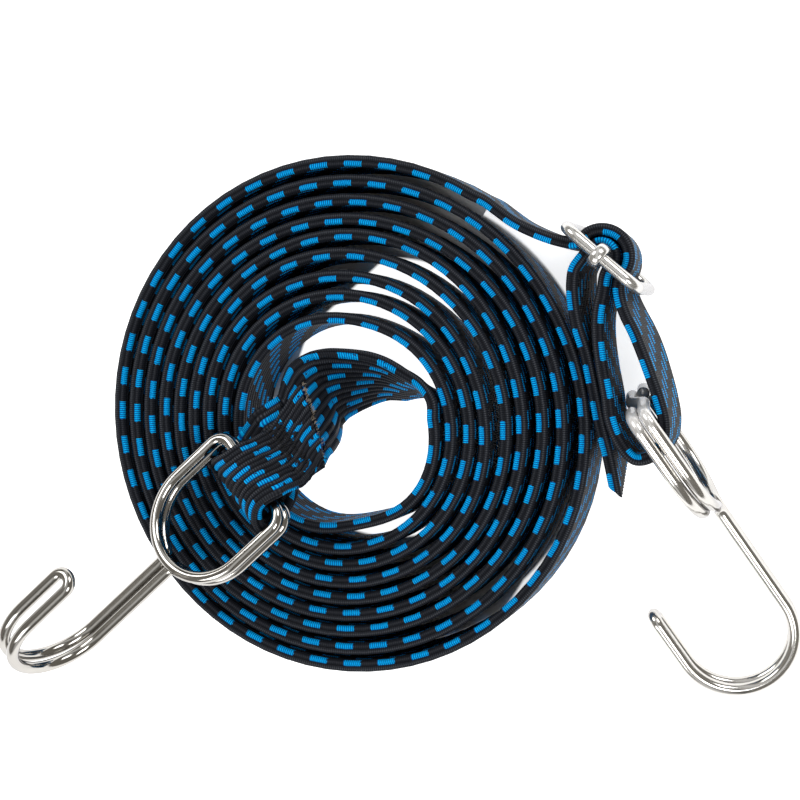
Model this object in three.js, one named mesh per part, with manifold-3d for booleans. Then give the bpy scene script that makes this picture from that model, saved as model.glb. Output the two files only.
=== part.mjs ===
import * as THREE from 'three';
import { mergeVertices } from 'three/addons/utils/BufferGeometryUtils.js';
import Module from 'manifold-3d';

// Adjustable elastic luggage strap, put away as a flat coil. A woven band is wound on edge, a wire hook is
// sewn to its inner end, and its outer end runs through a wire slide and the ring of a second hook.
// Millimetres, +Z up. Plan points are offsets from the coil's ends or from the slide's centre bar.

// Woven band
const strapWidth = 25;
const strapThickness = 3;
const strapBevel = 0.6;
const pieceGap = 0.3;
const routeStep = 3.2;

// Rubber strands in the band, one to a rib
const ribCount = 13;
const strandDiameter = 0.8;
const strandPlay = 0.35;

// Coil, counted in turns inward from its outer end
const coilTurns = 8.85;
const coilInnerRadius = 26.5;
const turnPlay = 1.74;
const coilDriftX = -0.304;
const coilDriftY = -0.312;
const coilOval = 0.019;
const coilOvalAngle = 104;
const coilStartAngle = 60;
const stepsPerTurn = 24;
// slack stretches: turn at the middle, half span in turns, how far the band bows out
const coilBows = [
  [0.77, 0.11, 1.4],
  [2.7, 0.14, -0.6],
  [3.8, 0.14, -0.7],
  [4.05, 0.1, 1.1],
  [5.12, 0.14, 1.1],
  [5.88, 0.1, -1],
  [6.22, 0.1, 0.9],
  [7.22, 0.12, 0.7],
  [8.05, 0.08, -1.2],
  [8.62, 0.07, -2.2],
  [8.72, 0.12, 0.9],
];

// Hook wire, bent into a double ring, a double shank and a hairpin hook
const hookWire = 3.3;
const wirePlay = 0.2;
const ringPlay = 3.4;
const ringLength = 33.4;
const ringCorner = 4;
const throatRadius = 4;
const hookRadius = 15.3;
const tipLength = 13;
const tipSpread = 2.7;
const barEndOffset = 7;
const barCrossing = 4;

// Slide: a wire frame with a centre bar that runs on its rails
const slideWire = 3.3;
const slideBarDiameter = 3;
const slideEdgePlay = 1.4;
const slideCorner = 4;
const collarPlay = 0.3;
const collarWall = 1.5;
const collarLength = 3.2;
const slideFloorPlay = 0.3;
const barTurnPlay = 0.35;
const leftLayerPlay = 0.55;
const rightLayerPlay = 1.05;
const leftPostPlay = 1.45;
const rightPostPlay = 2;
const slideAngle = -40.7;
const slideOffset = [35, -16.6];

// Outer lead, from the coil's outer end, up to the slide
const leadRoute = [
  [0, 0],
  [3.3, -1.6],
  [6.7, -4],
  [11.5, -7.3],
  [17, -10],
  [22, -11.9],
];
// where the lead rounds the slide's left post, along and across the rails
const leadBend = [
  [-10.2, -3.6],
  [-7.8, -2],
];
// Loop through the hook's ring, from the slide's centre bar: out, round and back
const hookLoopRoute = [
  [4.7, -7],
  [4.95, -10.7],
  [6.35, -14.9],
  [8.7, -19.6],
  [11.8, -27.2],
  [15.2, -36.8],
  [16.5, -42.2],
  [16.1, -47.1],
  [13.3, -50.9],
  [9.3, -51.7],
  [5.6, -48],
  [2.9, -41.8],
  [1.95, -35.4],
  [0.6, -28.5],
  [-0.4, -21.4],
  [-0.5, -15],
  [0.6, -8.6],
  [1.2, -4.7],
];
// Cut tail, from the slide's centre bar
const tailRoute = [
  [-5, -0.4],
  [-7, -3.2],
  [-7.6, -6.6],
  [-7.5, -11.1],
  [-6.5, -17.5],
  [-4.1, -25.3],
  [-2, -35.5],
  [-0.6, -43.2],
  [1.5, -52.1],
  [3.5, -62.8],
];
const tailEndLift = 0.4;
// the tail's stations are close together round the bar and twice as far apart after it
const tailBendStations = 4;
// the loop climbs to its lift and levels out there before its middle
const loopLift = 8.9;
const loopClimb = 1.3;

// Right hook, its ring's bar standing in the strap's loop
const rightBarOffset = [8.6, -37.8];
const rightBarHeight = 22.7;
const rightHookAngle = -56.4;
const rightHookSlope = 13;
const rightHookRoll = 90;
const rightShankLength = 32.6;

// Left hook, its ring's bar lying over the coil, measured from the coil's inner end
const leftBarOffset = [-44.9, -15.5];
const leftBarRise = 10.2;
const leftHookAngle = 222.6;
const leftHookSlope = -1.5;
const leftHookRoll = 20.2;
const leftShankLength = 30;

// Sewn end: the band twists flat, folds round the left hook's bar and is tacked to itself
const eyePlay = 0.32;
const eyeTilt = 8;
const layerPlay = 0.4;
const flatStart = 9.5;
const flatEnd = 16.5;
const tailbackLength = 23;
const skewAtTwist = 5.3;
const skewAtStack = 4;
const skewAtFold = 1.4;
const skewAtReturn = -1.4;
// the band's upper edge from the coil's inner end: plan offset, rise, lean of the band from upright and the
// plan direction that it leans in
const twistRoute = [
  [0, 0, 0.15, 0, 0],
  [-0.2, 4.7, 0.15, 3, 15],
  [-3.2, 9.5, 0.15, 12, 42],
  [-8.2, 12.9, 0.15, 21, 58],
  [-12.9, 15.6, 0.15, 27, 66],
  [-17.6, 17.2, 0.15, 32, 77],
  [-24, 18.1, 0.15, 40, 86],
  [-29.3, 18.3, 0.15, 48, 94],
  [-33.7, 17.6, 0.2, 56, 103],
  [-37.1, 16.1, 0.5, 66, 112],
  [-39.6, 13.9, 0.9, 80, 120],
  [-41.5, 9.5, 1.3, 100, 127],
];

// Bar tacks through both layers of the sewn end
const tackCount = 3;
const tackMiddle = 12.8;
const tackSpacing = 2;
const tackMargin = 1.5;
const tackWeb = 0.6;
const tackBead = 1.6;
const tackBeadHeight = 0.8;

// Facets: sides of round sections and steps of bends
const strandSides = 6;
const wireSides = 8;
const barSides = 12;
const collarSides = 16;
const slideTurnSteps = 8;
const barTurnSteps = 10;
const foldSteps = 14;
const cornerSteps = 4;
const throatSteps = 4;
const ringSteps = 14;
const hookSteps = 12;
const hairpinSteps = 6;
const frameCornerSteps = 5;
const lengthSamples = 40;

const up = vector(0, 0, 1);
const half = strapThickness / 2;
const turnPitch = strapThickness + turnPlay;

const wovenCover = { color: 0x2d2f32, roughness: 0.85, metalness: 0 };
const rubber = { color: 0xb8a88f, roughness: 0.7, metalness: 0 };
const thread = { color: 0x17181a, roughness: 0.8, metalness: 0 };
const nickel = { color: 0xc9c7c2, roughness: 0.18, metalness: 1 };

function radians(degrees) {
  return THREE.MathUtils.degToRad(degrees);
}

function vector(x, y, z) {
  return new THREE.Vector3(x, y, z);
}

function planPoint(from, offset, height) {
  return vector(from.x + offset[0], from.y + offset[1], height);
}

// Unit direction at each station, halfway between the runs that meet there
function tangents(points) {
  return points.map((point, i) => {
    const tangent = new THREE.Vector3();
    if (i > 0) tangent.add(point.clone().sub(points[i - 1]).normalize());
    if (i < points.length - 1) tangent.add(points[i + 1].clone().sub(point).normalize());
    return tangent.normalize();
  });
}

// Closed solid of a flat section swept through stations that say where the band's width points. Where the
// band stands upright its ends and sections stay upright too, also on a slope.
function sweep(stations, outline, bores = []) {
  const contours = [outline, ...bores];
  const perStation = contours.reduce((sum, contour) => sum + contour.length, 0);
  const turns = tangents(stations.map((station) => station.at));
  const directions = stations.map((station, i) => station.along ?? turns[i]);
  const positions = [];
  stations.forEach((station, i) => {
    if (station.across === up) directions[i].setZ(0);
    const face = directions[i].clone().cross(station.across).normalize();
    const across = face.clone().cross(directions[i].normalize());
    for (const contour of contours) {
      for (const point of contour) {
        const corner = station.at.clone().addScaledVector(face, point.x).addScaledVector(across, point.y);
        positions.push(corner.x, corner.y, corner.z);
      }
    }
  });
  const index = [];
  for (let i = 0; i < stations.length - 1; i++) {
    let first = i * perStation;
    contours.forEach((contour, which) => {
      for (let j = 0; j < contour.length; j++) {
        const a = first + j;
        const b = first + ((j + 1) % contour.length);
        const c = a + perStation;
        const d = b + perStation;
        if (which === 0) index.push(a, c, b, b, c, d);
        else index.push(a, b, c, b, d, c);
      }
      first += contour.length;
    });
  }
  const last = (stations.length - 1) * perStation;
  for (const [a, b, c] of THREE.ShapeUtils.triangulateShape(outline, bores)) {
    index.push(a, b, c, last + a, last + c, last + b);
  }
  const geometry = new THREE.BufferGeometry();
  geometry.setAttribute('position', new THREE.Float32BufferAttribute(positions, 3));
  geometry.setIndex(index);
  return geometry;
}

// Path that steps from point to point, so that bends get more steps than straight runs
class StationPath extends THREE.Curve {
  constructor(points) {
    super();
    this.points = points;
    this.directions = tangents(points);
  }

  getSpacedPoints() {
    return this.points;
  }

  getTangentAt(share) {
    return this.directions[Math.round(share * (this.points.length - 1))].clone();
  }
}

function roundShape(radius, sides) {
  const points = [];
  for (let i = 0; i < sides; i++) {
    const angle = (2 * Math.PI * (i + 0.5)) / sides;
    points.push(new THREE.Vector2(radius * Math.cos(angle), radius * Math.sin(angle)));
  }
  return points;
}

function wire(points, diameter) {
  const section = new THREE.Shape(roundShape(diameter / 2, wireSides));
  const options = { steps: points.length - 1, extrudePath: new StationPath(points), bevelEnabled: false };
  return new THREE.ExtrudeGeometry(section, options);
}

const wasm = await Module();
wasm.setup();

function toSolid(geometry) {
  const bare = geometry.clone();
  bare.deleteAttribute('normal');
  bare.deleteAttribute('uv');
  const merged = mergeVertices(bare, 1e-4);
  const vertProperties = Float32Array.from(merged.attributes.position.array);
  const triVerts = Uint32Array.from(merged.index.array);
  return new wasm.Manifold(new wasm.Mesh({ numProp: 3, vertProperties, triVerts }));
}

function toGeometry(solid) {
  const mesh = solid.getMesh();
  const geometry = new THREE.BufferGeometry();
  geometry.setAttribute('position', new THREE.Float32BufferAttribute(mesh.vertProperties, 3));
  geometry.setIndex(Array.from(mesh.triVerts));
  return geometry;
}

const strap = new THREE.Group();

function piece(name, geometry, finish) {
  geometry.computeVertexNormals();
  const mesh = new THREE.Mesh(geometry, new THREE.MeshStandardMaterial(finish));
  mesh.name = name;
  strap.add(mesh);
  return mesh;
}

// Band sections: flat on the lower edge where the coil stands, bevelled on every edge elsewhere
function standingSection() {
  const w = strapWidth / 2;
  const b = strapBevel;
  return [
    new THREE.Vector2(-half, -w),
    new THREE.Vector2(half, -w),
    new THREE.Vector2(half, w - b),
    new THREE.Vector2(half - b, w),
    new THREE.Vector2(-half + b, w),
    new THREE.Vector2(-half, w - b),
  ];
}

function freeSection() {
  const w = strapWidth / 2;
  const b = strapBevel;
  return [
    new THREE.Vector2(-half + b, -w),
    new THREE.Vector2(half - b, -w),
    new THREE.Vector2(half, -w + b),
    new THREE.Vector2(half, w - b),
    new THREE.Vector2(half - b, w),
    new THREE.Vector2(-half + b, w),
    new THREE.Vector2(-half, w - b),
    new THREE.Vector2(-half, -w + b),
  ];
}

// Stations along a smooth curve through points, with a gap left at each end
function stationsAlong(points, widths, startGap, endGap) {
  const curve = new THREE.CatmullRomCurve3(points, false, 'centripetal');
  curve.arcLengthDivisions = lengthSamples * points.length;
  const length = curve.getLength();
  const count = Math.ceil(length / routeStep);
  const stations = [];
  for (let i = 0; i <= count; i++) {
    const run = startGap + ((length - startGap - endGap) * i) / count;
    const share = Math.min(run / length, 1);
    stations.push({ at: curve.getPointAt(share), across: widths(curve.getUtoTmapping(share)) });
  }
  return stations;
}

function upright(points, startGap, endGap) {
  return stationsAlong(points, () => up, startGap, endGap);
}

// Coil
function coilAt(turn) {
  const angle = radians(coilStartAngle) + 2 * Math.PI * turn;
  let radius = coilInnerRadius + turnPitch * (coilTurns - turn);
  radius *= 1 + coilOval * Math.cos(2 * (angle - radians(coilOvalAngle)));
  for (const [middle, span, bow] of coilBows) {
    radius += bow * Math.exp(-(((turn - middle) / span) ** 2));
  }
  const x = coilDriftX * turn + radius * Math.cos(angle);
  const y = coilDriftY * turn + radius * Math.sin(angle);
  return vector(x, y, strapWidth / 2);
}

const coilSteps = Math.round(coilTurns * stepsPerTurn);
const coilStations = [];
for (let i = 0; i <= coilSteps; i++) {
  coilStations.push({ at: coilAt((i * coilTurns) / coilSteps), across: up });
}
let leastSpacing = Infinity;
for (let i = 0; i <= coilSteps; i++) {
  for (let j = i + stepsPerTurn / 2; j <= coilSteps; j++) {
    leastSpacing = Math.min(leastSpacing, coilStations[i].at.distanceTo(coilStations[j].at));
  }
}
console.log(`coil: least gap between turns ${(leastSpacing - strapThickness).toFixed(2)} mm`);
piece('strap_coil', sweep(coilStations, standingSection()), wovenCover);
const outerEnd = coilAt(0);
const innerEnd = coilAt(coilTurns);

// Slide: places along its rails (e), across them (m) and heights, from its centre bar
const barRadius = slideBarDiameter / 2;
const innerTurnRadius = barRadius + barTurnPlay + half;
const leadCrossing = innerTurnRadius + strapThickness + leftLayerPlay;
const loopCrossing = innerTurnRadius + strapThickness + rightLayerPlay;
const leftPost = -(leadCrossing + half + leftPostPlay + slideWire / 2);
const rightPost = loopCrossing + half + rightPostPlay + slideWire / 2;
const collarBore = slideWire / 2 + collarPlay;
const collarRadius = collarBore + collarWall;
const lowRail = slideFloorPlay + collarRadius;
const slideLift = lowRail + slideWire / 2 + slideEdgePlay;
const highRail = slideLift + strapWidth + slideEdgePlay + slideWire / 2;
const slideCentre = planPoint(outerEnd, slideOffset, 0);
const alongRails = new THREE.Vector3(Math.cos(radians(slideAngle)), Math.sin(radians(slideAngle)), 0);
const acrossRails = up.clone().cross(alongRails);

function slidePoint(e, m, height) {
  const point = slideCentre.clone().addScaledVector(alongRails, e).addScaledVector(acrossRails, m);
  return point.setZ(height);
}

function bandMiddle(lift) {
  return lift + strapWidth / 2;
}

// Half turn of the band on the far side of the slide, from one crossing to the other
function slideTurn(fromE, toE, steps) {
  const centre = (fromE + toE) / 2;
  const radius = (toE - fromE) / 2;
  const points = [];
  for (let i = 0; i <= steps; i++) {
    const angle = (Math.PI * i) / steps;
    const e = centre - radius * Math.cos(angle);
    const m = Math.abs(radius) * Math.sin(angle);
    points.push(slidePoint(e, m, bandMiddle(slideLift)));
  }
  return points;
}

// Lead from the coil, round the slide
const leadPoints = leadRoute.map((offset, i) => {
  const share = i / leadRoute.length;
  return planPoint(outerEnd, offset, bandMiddle(slideLift * share * share * (3 - 2 * share)));
});
for (const [e, m] of leadBend) {
  leadPoints.push(slidePoint(e, m, bandMiddle(slideLift)));
}
leadPoints.push(...slideTurn(-leadCrossing, loopCrossing, slideTurnSteps));
piece('strap_lead', sweep(upright(leadPoints, pieceGap, pieceGap / 2), freeSection()), wovenCover);

// Loop through the right hook's ring, rising to the ring's middle
const loopPoints = hookLoopRoute.map((offset, i) => {
  const share = Math.sin((Math.PI * (i + 1)) / (hookLoopRoute.length + 1));
  const lift = slideLift + (loopLift - slideLift) * Math.min(1, loopClimb * share);
  return planPoint(slideCentre, offset, bandMiddle(lift));
});
loopPoints.unshift(slidePoint(loopCrossing, 0, bandMiddle(slideLift)));
loopPoints.push(slidePoint(innerTurnRadius, 0, bandMiddle(slideLift)));
piece('strap_hook_loop', sweep(upright(loopPoints, pieceGap / 2, pieceGap / 2), freeSection()), wovenCover);

// Turn round the slide's centre bar
const barTurn = slideTurn(innerTurnRadius, -innerTurnRadius, barTurnSteps);
const barTurnStations = barTurn.map((at) => ({ at, across: up }));
piece('strap_slide_turn', sweep(barTurnStations, freeSection()), wovenCover);

// Cut tail with its rubber strands
const tailPoints = tailRoute.map((offset, i) => {
  const share = (i + 1) / tailRoute.length;
  return planPoint(slideCentre, offset, bandMiddle(slideLift + (tailEndLift - slideLift) * share * share));
});
tailPoints.unshift(slidePoint(-innerTurnRadius, 0, bandMiddle(slideLift)));
const tailSteps = upright(tailPoints, pieceGap, 0);
const tailStations = tailSteps.filter((station, i) => i % 2 === 0 || i < tailBendStations);
const strandShape = roundShape(strandDiameter / 2, strandSides);
const boreShape = roundShape(strandDiameter / 2 + strandPlay, strandSides);
const ribPitch = strapWidth / ribCount;
const ribMiddles = Array.from({ length: ribCount }, (_, i) => ribPitch * (i - (ribCount - 1) / 2));

function atRib(shape, middle) {
  return shape.map((point) => new THREE.Vector2(point.x, point.y + middle));
}

const tailBores = ribMiddles.map((middle) => atRib(boreShape, middle));
piece('strap_tail', sweep(tailStations, freeSection(), tailBores), wovenCover);
ribMiddles.forEach((middle, i) => {
  piece(`rubber_strand_${i + 1}`, sweep(tailStations, atRib(strandShape, middle)), rubber);
});

// Hook wire path: x along the ring's bar, y along the shank, z towards the hook's tip
const sideways = vector(1, 0, 0);
const forwards = vector(0, 1, 0);
const backwards = vector(0, -1, 0);

function arc(points, centre, radius, first, second, from, to, steps) {
  for (let i = 0; i <= steps; i++) {
    const angle = radians(from + ((to - from) * i) / steps);
    const point = centre.clone().addScaledVector(first, radius * Math.cos(angle));
    points.push(point.addScaledVector(second, radius * Math.sin(angle)));
  }
}

const ringHalf = (strapWidth + ringPlay + hookWire) / 2;
const layerStep = hookWire + wirePlay;
const shankHalf = layerStep / 2;
const ringArcStart = ringLength - ringHalf;
const throatX = shankHalf + throatRadius;
const throatY = ringArcStart + Math.sqrt((ringHalf + throatRadius) ** 2 - throatX ** 2);
const throatAngle = THREE.MathUtils.radToDeg(Math.atan2(throatY - ringArcStart, throatX));

// One side of the back layer, from the bar to the end of the hook's tip; side is 1 or -1
function backSide(side, shankEnd) {
  const points = [];
  const corner = vector(side * (ringHalf - ringCorner), ringCorner, 0);
  const outwards = vector(side, 0, 0);
  arc(points, corner, ringCorner, backwards, outwards, 0, 90, cornerSteps);
  arc(points, vector(0, ringArcStart, 0), ringHalf, outwards, forwards, 0, throatAngle, ringSteps / 2);
  const throat = vector(side * throatX, throatY, 0);
  arc(points, throat, -throatRadius, outwards, forwards, throatAngle, 0, throatSteps);
  for (let i = 0; i <= hookSteps; i++) {
    const angle = (Math.PI * i) / hookSteps;
    const x = shankHalf + ((tipSpread - shankHalf) * i) / hookSteps;
    const y = shankEnd + hookRadius * Math.sin(angle);
    points.push(vector(side * x, y, hookRadius * (1 - Math.cos(angle))));
  }
  points.push(vector(side * tipSpread, shankEnd - tipLength, 2 * hookRadius));
  return points;
}

function hookPath(shankEnd) {
  const points = [vector(barEndOffset, 0, 0), ...backSide(1, shankEnd)];
  const tip = vector(0, shankEnd - tipLength, 2 * hookRadius);
  const hairpin = [];
  arc(hairpin, tip, tipSpread, sideways, backwards, 0, 180, hairpinSteps);
  points.push(...hairpin.slice(1, -1), ...backSide(-1, shankEnd).reverse());
  points.push(vector(-barCrossing, 0, 0), vector(barCrossing, 0, layerStep));
  const front = (x, y) => vector(x, y, layerStep);
  const corner = ringHalf - ringCorner;
  arc(points, front(corner, ringCorner), ringCorner, backwards, sideways, 0, 90, cornerSteps);
  arc(points, front(0, ringArcStart), ringHalf, sideways, forwards, 0, 180, ringSteps);
  arc(points, front(-corner, ringCorner), ringCorner, sideways, backwards, 180, 90, cornerSteps);
  points.push(front(-barEndOffset, 0));
  return points;
}

// Axes of a hook whose shank runs at an angle in plan, sloping down, rolled about itself
function hookAxes(angle, slope, roll) {
  const shank = vector(Math.cos(radians(angle)), Math.sin(radians(angle)), 0);
  shank.multiplyScalar(Math.cos(radians(slope))).setZ(-Math.sin(radians(slope)));
  const side = up.clone().cross(shank).normalize();
  const lift = shank.clone().cross(side);
  const towardsTip = lift.multiplyScalar(Math.cos(radians(roll)));
  towardsTip.addScaledVector(side, -Math.sin(radians(roll)));
  return { bar: shank.clone().cross(towardsTip), shank, towardsTip };
}

// Places a hook by the middle of its double bar
function placeHook(name, barMiddle, axes, shankLength) {
  const hook = piece(name, wire(hookPath(ringLength + shankLength), hookWire), nickel);
  const turn = new THREE.Matrix4().makeBasis(axes.bar, axes.shank, axes.towardsTip);
  hook.setRotationFromMatrix(turn);
  hook.position.copy(barMiddle).addScaledVector(axes.towardsTip, -layerStep / 2);
}

const rightBar = planPoint(slideCentre, rightBarOffset, rightBarHeight);
const rightAxes = hookAxes(rightHookAngle, rightHookSlope, rightHookRoll);
placeHook('hook_right', rightBar, rightAxes, rightShankLength);

const leftAxes = hookAxes(leftHookAngle, leftHookSlope, leftHookRoll);
const leftBar = planPoint(innerEnd, leftBarOffset, strapWidth + leftBarRise);
leftBar.addScaledVector(leftAxes.towardsTip, layerStep / 2);
placeHook('hook_left', leftBar, leftAxes, leftShankLength);

// Sewn end, in axes at the left hook's bar: a runs back over the coil, n up through the layers, x along
// the bar
const tabBack = leftAxes.shank.clone().multiplyScalar(-Math.cos(radians(eyeTilt)));
tabBack.addScaledVector(leftAxes.towardsTip, -Math.sin(radians(eyeTilt)));
const tabUp = leftAxes.bar.clone().cross(tabBack).negate();

function tabPoint(a, n, x) {
  const point = leftBar.clone().addScaledVector(tabBack, a).addScaledVector(tabUp, n);
  return point.addScaledVector(leftAxes.bar, x);
}

const barReach = Math.hypot(hookWire / 2, layerStep / 2 + hookWire / 2);
const eyeRadius = barReach + eyePlay + half;
const layerOffset = half + layerPlay / 2;
const stackDistance = Math.hypot(flatStart, layerOffset);
const stackAngle = Math.atan2(layerOffset, flatStart);
const eyeAngle = stackAngle + Math.acos(eyeRadius / stackDistance);

const twistEdge = twistRoute.map(([x, y, rise]) => planPoint(innerEnd, [x, y], strapWidth + rise));
twistEdge.push(tabPoint(flatEnd, -layerOffset, skewAtTwist + strapWidth / 2));
const twistLeans = twistRoute.map((row) => row.slice(3));
twistLeans.push([90 + leftHookRoll, leftHookAngle - 90]);

function leaningWidth(share) {
  const place = share * (twistLeans.length - 1);
  const i = Math.min(Math.floor(place), twistLeans.length - 2);
  const leans = twistLeans[i].map((from, k) => THREE.MathUtils.lerp(from, twistLeans[i + 1][k], place - i));
  const [lean, direction] = leans.map(radians);
  const level = Math.sin(lean);
  return vector(level * Math.cos(direction), level * Math.sin(direction), Math.cos(lean));
}

// the band hangs from its upper edge
const edgeStations = stationsAlong(twistEdge, leaningWidth, pieceGap, 0);
const flatPoint = tabPoint(flatStart, -layerOffset, skewAtStack);
const twistMiddles = edgeStations.map(({ at, across }) => at.addScaledVector(across, -strapWidth / 2));
const twistRuns = tangents([...twistMiddles, flatPoint]);
const eyeStations = edgeStations.map(({ at, across }, i) => {
  return { at, across, along: twistRuns[i].projectOnPlane(across) };
});
eyeStations.push({ at: flatPoint, across: leftAxes.bar });
for (let i = 0; i <= foldSteps; i++) {
  const angle = -eyeAngle - ((2 * Math.PI - 2 * eyeAngle) * i) / foldSteps;
  const skew = THREE.MathUtils.lerp(skewAtFold, skewAtReturn, i / foldSteps);
  const at = tabPoint(eyeRadius * Math.cos(angle), eyeRadius * Math.sin(angle), skew);
  eyeStations.push({ at, across: leftAxes.bar });
}
for (const a of [flatStart, flatEnd, tailbackLength]) {
  eyeStations.push({ at: tabPoint(a, layerOffset, skewAtReturn), across: leftAxes.bar });
}

// Bar tack: beads above and below the two layers, joined by a web through them
const beadFrom = layerOffset + half + pieceGap;
const beadTo = beadFrom + tackBeadHeight;
const tackLength = strapWidth - (skewAtTwist - skewAtReturn) - 2 * tackMargin;
const tackOffset = (skewAtTwist + skewAtReturn) / 2;

function crossShape(web, bead, inner, outer) {
  return new THREE.Shape([
    new THREE.Vector2(-bead, -outer),
    new THREE.Vector2(bead, -outer),
    new THREE.Vector2(bead, -inner),
    new THREE.Vector2(web, -inner),
    new THREE.Vector2(web, inner),
    new THREE.Vector2(bead, inner),
    new THREE.Vector2(bead, outer),
    new THREE.Vector2(-bead, outer),
    new THREE.Vector2(-bead, inner),
    new THREE.Vector2(-web, inner),
    new THREE.Vector2(-web, -inner),
    new THREE.Vector2(-bead, -inner),
  ]);
}

function slotShape(width, height) {
  return new THREE.Shape([
    new THREE.Vector2(-width, -height),
    new THREE.Vector2(width, -height),
    new THREE.Vector2(width, height),
    new THREE.Vector2(-width, height),
  ]);
}

// Shape drawn in a and n, extruded along the bar and centred there
function acrossTab(shape, length, a) {
  const geometry = new THREE.ExtrudeGeometry(shape, { depth: length, bevelEnabled: false });
  geometry.translate(0, 0, -length / 2);
  const place = new THREE.Matrix4().makeBasis(tabBack, tabUp, tabBack.clone().cross(tabUp));
  place.setPosition(tabPoint(a, 0, tackOffset));
  return geometry.applyMatrix4(place);
}

let eye = toSolid(sweep(eyeStations, freeSection()));
for (let i = 0; i < tackCount; i++) {
  const a = tackMiddle + tackSpacing * (i - (tackCount - 1) / 2);
  const slot = slotShape(tackWeb / 2 + pieceGap, beadTo);
  eye = eye.subtract(toSolid(acrossTab(slot, tackLength + 2 * pieceGap, a)));
  const tack = crossShape(tackWeb / 2, tackBead / 2, beadFrom, beadTo);
  piece(`bar_tack_${i + 1}`, acrossTab(tack, tackLength, a), thread);
}
piece('strap_sewn_eye', toGeometry(eye), wovenCover);

// Slide frame: an upright wire loop whose ends butt inside the lower collar
function framePath() {
  const plan = [[pieceGap / 2, lowRail]];
  const corner = (e, height, from) => {
    for (let i = 0; i <= frameCornerSteps; i++) {
      const angle = radians(from + (90 * i) / frameCornerSteps);
      plan.push([e + slideCorner * Math.cos(angle), height + slideCorner * Math.sin(angle)]);
    }
  };
  corner(rightPost - slideCorner, lowRail + slideCorner, -90);
  corner(rightPost - slideCorner, highRail - slideCorner, 0);
  corner(leftPost + slideCorner, highRail - slideCorner, 90);
  corner(leftPost + slideCorner, lowRail + slideCorner, 180);
  plan.push([-pieceGap / 2, lowRail]);
  return plan.map(([e, height]) => slidePoint(e, 0, height));
}

piece('slide_frame', wire(framePath(), slideWire), nickel);

// Slide bar: an upright pin with a collar round each rail
function collar(height) {
  const profile = [
    new THREE.Vector2(collarBore, -collarLength / 2),
    new THREE.Vector2(collarRadius, -collarLength / 2),
    new THREE.Vector2(collarRadius, collarLength / 2),
    new THREE.Vector2(collarBore, collarLength / 2),
    new THREE.Vector2(collarBore, -collarLength / 2),
  ];
  const ring = new THREE.LatheGeometry(profile, collarSides);
  const place = new THREE.Matrix4().makeBasis(acrossRails, alongRails, up.clone().negate());
  place.setPosition(slidePoint(0, 0, height));
  return toSolid(ring.applyMatrix4(place));
}

const barFrom = lowRail + collarBore + collarWall / 2;
const barTo = highRail - collarBore - collarWall / 2;
const pin = new THREE.CylinderGeometry(barRadius, barRadius, barTo - barFrom, barSides);
pin.rotateX(Math.PI / 2);
pin.translate(slideCentre.x, slideCentre.y, (barFrom + barTo) / 2);
piece('slide_bar', toGeometry(toSolid(pin).add(collar(lowRail)).add(collar(highRail))), nickel);

// The origin is under the middle of the whole strap, at the height of its lowest point
const box = new THREE.Box3().setFromObject(strap, true);
const middle = box.getCenter(new THREE.Vector3());
strap.position.set(-middle.x, -middle.y, -box.min.z);
strap.updateMatrixWorld(true);

export default strap;
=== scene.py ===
import math
import random

import bmesh
import bpy
from mathutils import Matrix, Vector, noise


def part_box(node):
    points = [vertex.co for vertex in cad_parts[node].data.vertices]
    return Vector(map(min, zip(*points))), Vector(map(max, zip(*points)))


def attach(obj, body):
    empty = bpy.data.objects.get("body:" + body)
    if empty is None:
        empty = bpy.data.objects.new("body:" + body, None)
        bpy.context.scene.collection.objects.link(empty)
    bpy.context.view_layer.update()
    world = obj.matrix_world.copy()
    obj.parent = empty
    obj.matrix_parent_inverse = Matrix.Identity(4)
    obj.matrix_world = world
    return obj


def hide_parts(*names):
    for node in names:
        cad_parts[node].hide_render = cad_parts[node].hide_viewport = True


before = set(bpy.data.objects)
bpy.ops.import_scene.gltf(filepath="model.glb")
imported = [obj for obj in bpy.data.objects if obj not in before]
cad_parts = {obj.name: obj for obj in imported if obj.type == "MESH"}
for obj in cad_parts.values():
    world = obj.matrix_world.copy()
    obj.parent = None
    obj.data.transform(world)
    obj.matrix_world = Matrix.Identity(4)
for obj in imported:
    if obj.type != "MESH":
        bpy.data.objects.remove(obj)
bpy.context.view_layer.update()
random.seed(11)
mm = 0.001
sameSpot = 1e-7  # metres, within which points are merged
upwards = Vector((0, 0, 1))
print("frame loaded")


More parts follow.
